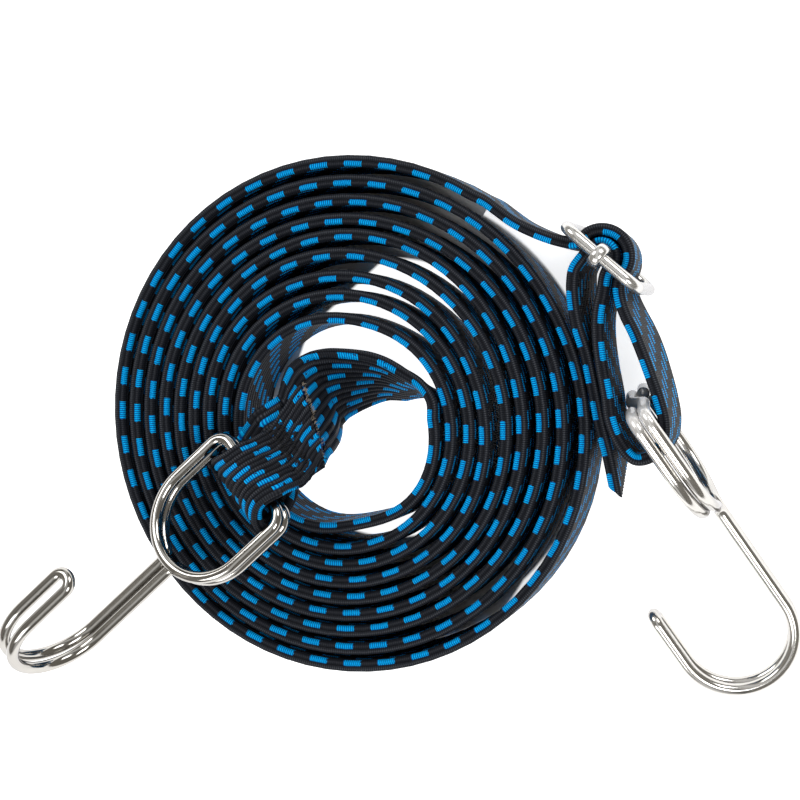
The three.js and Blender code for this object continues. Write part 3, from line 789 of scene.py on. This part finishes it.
def hookSide(side, shankEnd):
    w = hookWire
    outwards, forwards = Vector((side, 0, 0)), Vector((0, 1, 0))
    shankHalf = w["layerStep"] / 2
    arcStart = w["ringLength"] - w["ringHalf"]
    throatX = shankHalf + w["throatRadius"]
    throatY = math.sqrt((w["ringHalf"] + w["throatRadius"]) ** 2 - throatX**2)
    throatAngle = math.degrees(math.atan2(throatY, throatX))
    corner = Vector((side * (w["ringHalf"] - w["ringCorner"]), w["ringCorner"], 0))
    points = arc(corner, w["ringCorner"], -forwards, outwards, 0, 90, 10)
    points += arc(Vector((0, arcStart, 0)), w["ringHalf"], outwards, forwards, 0, throatAngle, 30)
    throat = Vector((side * throatX, arcStart + throatY, 0))
    points += arc(throat, -w["throatRadius"], outwards, forwards, throatAngle, 0, 10)[1:]
    bendSteps = 36
    for i in range(bendSteps + 1):
        angle = math.pi * i / bendSteps
        x = shankHalf + (w["tipSpread"] - shankHalf) * i / bendSteps
        y = shankEnd + w["hookRadius"] * math.sin(angle)
        points.append(Vector((side * x, y, w["hookRadius"] * (1 - math.cos(angle)))))
    points.append(Vector((side * w["tipSpread"], shankEnd - w["tipLength"], 2 * w["hookRadius"])))
    return points


def hookPath(shankEnd):
    w = hookWire
    sideways, forwards = Vector((1, 0, 0)), Vector((0, 1, 0))
    tip = Vector((0, shankEnd - w["tipLength"], 2 * w["hookRadius"]))
    path = [Vector((w["barEnd"], 0, 0))] + hookSide(1, shankEnd)
    path += arc(tip, w["tipSpread"], sideways, -forwards, 0, 180, 18)[1:-1]
    path += list(reversed(hookSide(-1, shankEnd)))
    front = upwards * w["layerStep"]
    path += [Vector((-w["barCrossing"], 0, 0)), Vector((w["barCrossing"], 0, 0)) + front]
    corner = w["ringHalf"] - w["ringCorner"]
    right = Vector((corner, w["ringCorner"], 0)) + front
    path += arc(right, w["ringCorner"], -forwards, sideways, 0, 90, 10)
    ring = Vector((0, w["ringLength"] - w["ringHalf"], 0)) + front
    path += arc(ring, w["ringHalf"], sideways, forwards, 0, 180, 60)
    left = Vector((-corner, w["ringCorner"], 0)) + front
    path += arc(left, w["ringCorner"], sideways, -forwards, 180, 90, 10)
    path.append(Vector((-w["barEnd"], 0, 0)) + front)
    return path


def hookAxes(hook):
    slope, roll = math.radians(hook["slope"]), math.radians(hook["roll"])
    shank = radial(hook["angle"]) * math.cos(slope) - upwards * math.sin(slope)
    side = upwards.cross(shank).normalized()
    tip = shank.cross(side) * math.cos(roll) - side * math.sin(roll)
    return {"bar": shank.cross(tip), "shank": shank, "tip": tip}


wireEnd = {"stout": 2.0, "rounding": 0.16, "dome": 0.08}  # mm, then shares of the diameter


def bendWire(name, runs, diameter, material, roundness=7):
    # one tube through each run of points
    curve = bpy.data.curves.new(name, "CURVE")
    curve.dimensions = "3D"
    curve.bevel_depth = diameter / 2 * mm
    curve.bevel_resolution = roundness
    curve.use_fill_caps = True
    for points in runs:
        spline = curve.splines.new("POLY")
        spline.points.add(len(points) - 1)
        for knot, point in zip(spline.points, points):
            knot.co = (*(point * mm), 1)
    former = bpy.data.objects.new(name + "Route", curve)
    bpy.context.scene.collection.objects.link(former)
    bpy.context.view_layer.update()
    graph = bpy.context.evaluated_depsgraph_get()
    shape = bpy.data.meshes.new_from_object(former.evaluated_get(graph))
    bpy.data.objects.remove(former)
    bm = bmesh.new()
    bm.from_mesh(shape)
    bmesh.ops.remove_doubles(bm, verts=bm.verts, dist=sameSpot)
    bmesh.ops.recalc_face_normals(bm, faces=bm.faces)
    if diameter > wireEnd["stout"]:  # rounds off the cut ends
        rims = [edge for face in bm.faces if len(face.verts) > 4 for edge in face.edges]
        bmesh.ops.bevel(
            bm,
            geom=rims,
            offset=diameter * wireEnd["rounding"] * mm,
            offset_type="OFFSET",
            segments=3,
            profile=0.5,
            affect="EDGES",
            material=-1,
        )
        ends = [face for face in bm.faces if len(face.verts) > 4]
        bmesh.ops.poke(bm, faces=ends, offset=diameter * wireEnd["dome"] * mm)
    return linkMesh(bm, name, material)


plating = {
    "cloud": (90.0, 3.0),  # scale and detail of each speckle
    "wave": (300.0, 1.0),
    "cloudRoughness": 0.06,
    "tint": (0.7, 0.7, 0.72, 1),
    "relief": 0.00001,  # metres
}
# painted light: the wire round the right hook's bar, which lies in the loop's shade, is given a paler
# tone; it is also less metallic and rougher there
barLight = {
    "fullLightTo": 0.0,  # mm along the shank, from the bar's middle
    "endsAt": 6.0,
    "tone": (0.80, 0.79, 0.78, 1),
    "metalShare": 0.45,
    "roughness": 0.08,  # more than the plating's own
}


def barLightShare(tree, barMiddle, shankWay):
    # painted light: 1 round the bar, where the wire is painted paler, 0 along the rest of the wire
    along = tree.nodes.new("ShaderNodeVectorMath")
    along.operation = "DOT_PRODUCT"
    tree.links.new(tree.nodes.new("ShaderNodeTexCoord").outputs["Object"], along.inputs[0])
    along.inputs[1].default_value = shankWay
    start = inFrame([barMiddle])[0].dot(shankWay)
    unlitFrom = (start + barLight["endsAt"]) * mm
    fullyLitTo = (start + barLight["fullLightTo"]) * mm
    return rampBetween(tree, along.outputs["Value"], unlitFrom, fullyLitTo)


def platedWire(name, dullTone, brightTone, roughness, metalShare, litBarPlace=None):
    material, tree, shader = startMaterial(name)
    cloud = speckle(tree, *plating["cloud"])
    wave = speckle(tree, *plating["wave"])
    colour = mixColour(tree, cloud, dullTone, brightTone)
    shader.inputs["Metallic"].default_value = metalShare
    shader.inputs["Specular Tint"].default_value = plating["tint"]
    rough = calc(tree, "MULTIPLY_ADD", cloud, plating["cloudRoughness"], roughness)
    if litBarPlace:
        barLit = barLightShare(tree, *litBarPlace)
        # painted light: a paler tone round the bar
        colour = mixColour(tree, barLit, colour, barLight["tone"])
        metal = calc(tree, "MULTIPLY_ADD", barLit, barLight["metalShare"] - metalShare, metalShare)
        tree.links.new(metal, shader.inputs["Metallic"])
        rough = calc(tree, "MULTIPLY_ADD", barLit, barLight["roughness"], rough)
    tree.links.new(colour, shader.inputs["Base Color"])
    tree.links.new(rough, shader.inputs["Roughness"])
    raiseSurface(tree, shader, wave, plating["relief"])
    return material


rightAxes = hookAxes(rightHook)
rightBar = slideCentre + rightHook["bar"] + upwards * rightHook["height"]
paintedBar = (rightBar, rightAxes["shank"])
nickel = platedWire("platedWire", (0.39, 0.375, 0.35, 1), (0.48, 0.465, 0.44, 1), 0.08, 1.0)
# painted light: the right hook's plating is a paler copy of the left hook's, for the light that falls on
# it
litHookTones = ((0.52, 0.505, 0.48, 1), (0.61, 0.595, 0.57, 1))
litHookNickel = platedWire("litHookWire", *litHookTones, 0.12, 0.96, paintedBar)
satinNickel = platedWire("satinWire", (0.58, 0.57, 0.55, 1), (0.67, 0.66, 0.64, 1), 0.2, 0.9)


def makeHook(name, node, body, hook, barMiddle, axes, finish):
    origin = barMiddle - axes["tip"] * (hookWire["layerStep"] / 2)
    path = []
    for point in hookPath(hookWire["ringLength"] + hook["shank"]):
        path.append(origin + axes["bar"] * point.x + axes["shank"] * point.y + axes["tip"] * point.z)
    run = evenSteps(inFrame(path), hookWire["step"])
    piece = bendWire(name, [run], hookWire["diameter"], finish, hook["roundness"])
    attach(piece, body)
    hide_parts(node)


makeHook("hookRight", "hook_right", "right_hook", rightHook, rightBar, rightAxes, litHookNickel)
leftAxes = hookAxes(leftHook)
leftBar = Vector((innerEnd.x, innerEnd.y, band["width"] + leftHook["rise"])) + leftHook["bar"]
leftBar += leftAxes["tip"] * (hookWire["layerStep"] / 2)
makeHook("hookLeft", "hook_left", "left_hook", leftHook, leftBar, leftAxes, nickel)
print("hooks bent")


# Slide frame and its centre bar
def makeSlideFrame():
    r = slide["corner"]
    low, high = slide["lowRail"], slide["highRail"]
    left, right = slide["leftPost"], slide["rightPost"]
    bends = [
        (right - r, low + r, -90),
        (right - r, high - r, 0),
        (left + r, high - r, 90),
        (left + r, low + r, 180),
    ]
    bendSteps = 12
    path = [slidePoint(slide["seamHalf"], 0, low)]
    for e, height, start in bends:
        for i in range(bendSteps + 1):
            angle = math.radians(start + 90 * i / bendSteps)
            path.append(slidePoint(e + r * math.cos(angle), 0, height + r * math.sin(angle)))
    path.append(slidePoint(-slide["seamHalf"], 0, low))
    piece = bendWire("slideFrame", [evenSteps(inFrame(path), slide["step"])], slide["wire"], satinNickel)
    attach(piece, "slide_loop")
    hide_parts("slide_frame")


collar = {"bore": 1.95, "wall": 1.5, "length": 3.2, "pinGap": 0.5, "around": 40, "section": 20}


def addCollar(bm, height):
    # a grid rolled into a ring with an oval section, round the rail
    ring = bmesh.ops.create_grid(
        bm, x_segments=collar["section"], y_segments=collar["around"], size=0.5
    )["verts"]
    rails = radial(slide["angle"])
    sideways = upwards.cross(rails)
    place = inFrame([slidePoint(0, 0, height)])[0]
    for vert in ring:
        section = 2 * math.pi * (vert.co.x + 0.5)
        around = 2 * math.pi * (vert.co.y + 0.5)
        reach = collar["bore"] + collar["wall"] / 2 * (1 + math.cos(section))
        out = sideways * math.cos(around) + upwards * math.sin(around)
        vert.co = (place + out * reach + rails * (collar["length"] / 2 * math.sin(section))) * mm


def makeSlideBar():
    bm = bmesh.new()
    addCollar(bm, slide["lowRail"])
    addCollar(bm, slide["highRail"])
    low = slide["lowRail"] + collar["bore"] + collar["pinGap"]
    high = slide["highRail"] - collar["bore"] - collar["pinGap"]
    radius = slide["barRadius"] * mm
    pin = bmesh.ops.create_cone(
        bm, cap_ends=True, segments=32, radius1=radius, radius2=radius, depth=(high - low) * mm
    )["verts"]
    place = inFrame([slidePoint(0, 0, (low + high) / 2)])[0] * mm
    bmesh.ops.translate(bm, verts=pin, vec=place)
    bmesh.ops.remove_doubles(bm, verts=bm.verts, dist=sameSpot)
    bmesh.ops.recalc_face_normals(bm, faces=bm.faces)
    piece = linkMesh(bm, "slideBar", satinNickel)
    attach(piece, "slide_pin")
    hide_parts("slide_bar")


makeSlideFrame()
makeSlideBar()
print("slide made")


# Sewn end: the band leans over, twists flat, folds round the left hook's bar and is tacked to itself
sewnEnd = {
    "eyePlay": 1.1,
    "tilt": 8,
    "layerPlay": 0.4,
    "flatFrom": 9.5,
    "flatTo": 16.5,
    "tailback": 22.6,
    "skewTwist": 2.8,  # along the bar, from where the band lies flat to its cut end
    "skewStack": 3.8,
    "skewFold": 3.9,
    "skewNose": -1.3,
    "skewFoldEnd": -2.5,
    "skewBack": -2.2,
    "skewReturn": -1.4,
    "step": 0.8,
    "twist": [  # upper edge from the coil's inner end: offset, rise, lean from upright, way it leans
        (0, 0, 0.15, 0, 0),
        (-0.2, 4.7, 0.15, 3, 15),
        (-3.2, 9.5, 0.15, 12, 42),
        (-8.2, 12.9, 0.15, 21, 58),
        (-12.9, 15.6, 0.15, 27, 66),
        (-17.6, 17.2, 0.15, 32, 77),
        (-24, 18.1, 0.15, 40, 86),
        (-29.3, 18.3, 0.15, 48, 94),
        (-33.7, 17.6, 0.2, 56, 103),
        (-37.1, 16.1, 0.5, 66, 112),
        (-39.6, 13.9, 0.9, 80, 120),
        (-41.5, 9.5, 1.3, 100, 127),
    ],
}
returnLayer = {
    "pinch": 0.24,  # share of the width that the stitches draw in
    "pinchFrom": 9.0,  # mm from the fold's nose
    "endNarrow": 0.15,
    "endShift": 2.5,
    "slant": 3.6,  # how far the cut end's left corner reaches past its middle
    "endPull": -1.0,
    "jag": 1.1,
    "jagPower": 12,  # how close to the cut end the jags stay
    "bulge": 0.7,
    "bulgeGrain": (0.3, 0.28),  # across and along the band
    "tackDip": 0.35,
    "sewnAt": 13.0,  # where the thread breaks up the dashes most
    "sewnSpan": 6.0,
    "endFrom": 0.62,  # share of the loose length where its end starts
    "bulgeFrom": (11, 17),  # mm from the fold's nose
}
tack = {
    "rows": (8.6, 11.2, 13.8),
    "middle": -1.2,
    "length": 15.3,
    "half": 1.1,
    "stitches": 26,
    "thread": 0.34,
    "groove": 0.6,  # half width of the dip that each row pulls into the band
    "sunk": 0.1,
}
tilt = math.radians(sewnEnd["tilt"])
tabBack = -leftAxes["shank"] * math.cos(tilt) - leftAxes["tip"] * math.sin(tilt)
tabUp = tabBack.cross(leftAxes["bar"])
tabLayer = band["thickness"] / 2 + sewnEnd["layerPlay"] / 2


def tabPoint(a, n, x):
    return leftBar + tabBack * a + tabUp * n + leftAxes["bar"] * x


def between(first, last, count):
    return [first.lerp(last, (i + 1) / count) for i in range(count)]


def twistStations():
    edge = []
    leans = []
    for x, y, rise, lean, way in sewnEnd["twist"]:
        edge.append(Vector((innerEnd.x + x, innerEnd.y + y, band["width"] + rise)))
        leans.append(Vector((lean, way)))
    edge.append(tabPoint(sewnEnd["flatTo"], -tabLayer, sewnEnd["skewTwist"] + halfWidth))
    leans.append(Vector((90 + leftHook["roll"], leftHook["angle"] - 90)))
    points = smoothRoute(edge, sewnEnd["step"])
    spots = runAlong(points)
    knots = []
    for mark in edge:  # run at each chosen point
        nearest = min(range(len(points)), key=lambda i: (points[i] - mark).length)
        knots.append(spots[nearest])
    middles = []
    widths = []
    for point, spot in zip(points, spots):
        i = max(k for k in range(len(knots) - 1) if knots[k] <= spot + 1e-6)
        share = min(1.0, (spot - knots[i]) / (knots[i + 1] - knots[i]))
        lean, way = leans[i].lerp(leans[i + 1], share)
        across = upwards * math.cos(math.radians(lean)) + radial(way) * math.sin(math.radians(lean))
        middles.append(point - across * halfWidth)
        widths.append(across)
    flat = tabPoint(sewnEnd["flatFrom"], -tabLayer, sewnEnd["skewStack"])
    stations = []
    for middle, run, across in zip(middles, headings(middles + [flat]), widths):
        stations.append((middle, run - across * run.dot(across), across))
    return stations


def foldStations():
    # also gives how far each station is past the fold's nose
    wire = hookWire["diameter"] / 2
    reach = math.hypot(wire, hookWire["layerStep"] / 2 + wire)
    radius = reach + sewnEnd["eyePlay"] + band["thickness"] / 2
    start = sewnEnd["flatFrom"]
    eyeAngle = math.atan2(tabLayer, start) + math.acos(radius / math.hypot(start, tabLayer))
    arcRows = []
    steps = 36
    nose = steps // 2
    for i in range(steps + 1):
        angle = -eyeAngle - (2 * math.pi - 2 * eyeAngle) * i / steps
        first, last = sewnEnd["skewFold"], sewnEnd["skewNose"]
        if i >= nose:
            first, last = sewnEnd["skewNose"], sewnEnd["skewFoldEnd"]
        skew = first + (last - first) * (i if i < nose else i - nose) / nose
        arcRows.append(tabPoint(radius * math.cos(angle), radius * math.sin(angle), skew))
    flatEnd = tabPoint(sewnEnd["flatTo"], -tabLayer, sewnEnd["skewTwist"])
    flatStart = tabPoint(start, -tabLayer, sewnEnd["skewStack"])
    backStart = tabPoint(start, tabLayer, sewnEnd["skewBack"])
    backEnd = tabPoint(sewnEnd["tailback"], tabLayer, sewnEnd["skewReturn"])
    rows = between(flatEnd, flatStart, 8) + between(flatStart, arcRows[0], 10)[:-1] + arcRows
    bound = len(rows) - 1 - len(arcRows) // 2
    rows += between(arcRows[-1], backStart, 14) + between(backStart, backEnd, 26)
    runs = runAlong(rows)
    loose = [max(0.0, run - runs[bound]) for run in runs]
    bar = leftAxes["bar"]
    return [(point, heading, bar) for point, heading in zip(rows, headings(rows))], loose


def backOfTab(loose):  # a of a point on the return layer
    return sewnEnd["tailback"] - looseLength + loose


def pucker(loose, y):
    # draws the return layer in at its stitches, slants and frays its cut end; also gives how sewn it is
    if loose == 0:
        return y, Vector((0, 0, 0)), 0.0
    r = returnLayer
    a = backOfTab(loose)
    end = easeIn(loose, looseLength * r["endFrom"], looseLength)
    narrow = r["pinch"] * easeIn(loose, 0, r["pinchFrom"]) + (r["endNarrow"] - r["pinch"]) * end
    wide = y * (1 - narrow) + r["endShift"] * end
    rib = round(y / (band["width"] / band["ribs"]))
    jag = noise.noise(Vector((rib * 1.7, 0.5, 9))) * r["jag"] * (loose / looseLength) ** r["jagPower"]
    slant = (r["slant"] * y / halfWidth + r["endPull"]) * end
    grainY, grainA = r["bulgeGrain"]
    swell = r["bulge"] * easeIn(loose, *r["bulgeFrom"])
    bulge = noise.noise(Vector((y * grainY, a * grainA, 3.3))) * swell
    for row in tack["rows"]:
        bulge -= r["tackDip"] * math.exp(-(((a - row) / tack["groove"]) ** 2))
    sewn = math.exp(-(((a - r["sewnAt"]) / r["sewnSpan"]) ** 2))
    return wide, tabBack * (slant + jag) + tabUp * bulge, sewn


foldRows, foldLoose = foldStations()
looseLength = foldLoose[-1]


def makeSewnEnd():
    laid = twistStations()
    loose = [0.0] * len(laid) + foldLoose
    laid += foldRows
    middles = inFrame([middle for middle, heading, across in laid])
    stations = []
    for middle, station, run in zip(middles, laid, runAlong(middles)):
        heading, across = station[1:]
        face = heading.cross(across).normalized()
        stations.append((middle, face, face.cross(heading).normalized(), coilLength + run))

    def warp(row, y):
        return pucker(loose[row], y)

    piece = wrapBand("strapSewnEnd", stations, bandProfile(1, band["sewnDepth"]), sewnBand, warp=warp)
    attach(piece, "strap")
    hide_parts("strap_sewn_eye")


makeSewnEnd()


# Thread of the bar tacks, pale fibres at the cut end, rubber strands in the cut tail
def mattMaterial(name, grain, tones, roughness, sheen, relief):
    material, tree, shader = startMaterial(name)
    mottle = speckle(tree, *grain)
    tree.links.new(mixColour(tree, mottle, *tones), shader.inputs["Base Color"])
    shader.inputs["Roughness"].default_value = roughness
    shader.inputs["Specular IOR Level"].default_value = sheen
    raiseSurface(tree, shader, mottle, relief)
    return material


threadTones = ((0.006, 0.006, 0.007, 1), (0.022, 0.022, 0.024, 1))
latexTones = ((0.24, 0.20, 0.15, 1), (0.42, 0.36, 0.28, 1))
sewingThread = mattMaterial("sewingThread", (3200.0, 2.0), threadTones, 0.6, 0.25, 0.00008)
latex = mattMaterial("paleLatex", (1400.0, 3.0), latexTones, 0.65, 0.5, 0.00005)


def makeTacks():
    surface = tabLayer + band["thickness"] / 2 - tack["sunk"]
    runs = []
    for row in tack["rows"]:
        path = []
        for side in (1, -1):  # over the top one way, back underneath
            for i in range(tack["stitches"] + 1):
                x = tack["middle"] + side * tack["length"] * (i / tack["stitches"] - 0.5)
                zig = tack["half"] * (1 if i % 2 else -1)
                path.append(tabPoint(row + zig, side * surface, x))
        runs.append(inFrame(path + path[:1]))
    piece = bendWire("tackThreads", runs, tack["thread"], sewingThread, roundness=2)
    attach(piece, "strap")
    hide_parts("bar_tack_1", "bar_tack_2", "bar_tack_3")


fibres = {"count": 90, "shortest": 0.25, "longest": 0.9, "diameter": 0.1, "root": 0.4, "spread": 0.7}


def makeFibres():
    runs = []
    for i in range(fibres["count"]):
        y = band["width"] * (random.random() - 0.5)
        wide, shift, sewn = pucker(looseLength, y)
        depth = band["thickness"] * (random.random() - 0.5) * fibres["spread"]
        root = tabPoint(sewnEnd["tailback"], tabLayer + depth, sewnEnd["skewReturn"] + wide) + shift
        length = random.uniform(fibres["shortest"], fibres["longest"])
        aim = tabBack + leftAxes["bar"] * random.uniform(-0.6, 0.6) + tabUp * random.uniform(-0.3, 0.7)
        curl = leftAxes["bar"] * random.uniform(-0.5, 0.5) + tabUp * random.uniform(-0.3, 0.4)
        path = [root - tabBack * fibres["root"]]
        for step in range(5):
            share = step / 4
            path.append(root + (aim.normalized() * share + curl * share * share) * length)
        runs.append(inFrame(path))
    piece = bendWire("cutEndFibres", runs, fibres["diameter"], latex, roundness=1)
    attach(piece, "strap")


strands = {"diameter": 0.85, "proud": 0.15, "reach": 66.0, "endGap": 0.5}


def makeStrands():
    end, face, across, lastRun = outerStations[-1]
    ahead = across.cross(face)
    pitch = band["width"] / band["ribs"]
    runs = []
    for rib in range(band["ribs"]):
        y = pitch * (rib - (band["ribs"] - 1) / 2)
        cutBack = (halfWidth - y) * math.tan(math.radians(outerRun["tailCutLean"]))
        cutBack += outerRun["tailCutSlant"] * band["thickness"] / 2
        path = []
        for middle, face, across, run in outerStations:
            if cutBack + strands["endGap"] < abs(lastRun - run) < strands["reach"]:
                path.append(middle + across * y)
        path.append(end + upwards * y - ahead * (cutBack - strands["proud"]))
        runs.append(path)
    piece = bendWire("rubberStrands", runs, strands["diameter"], latex, roundness=1)
    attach(piece, "strap")
    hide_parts(*[f"rubber_strand_{i}" for i in range(1, band["ribs"] + 1)])


makeTacks()
makeFibres()
makeStrands()
print("tacks sewn, fibres and strands laid")
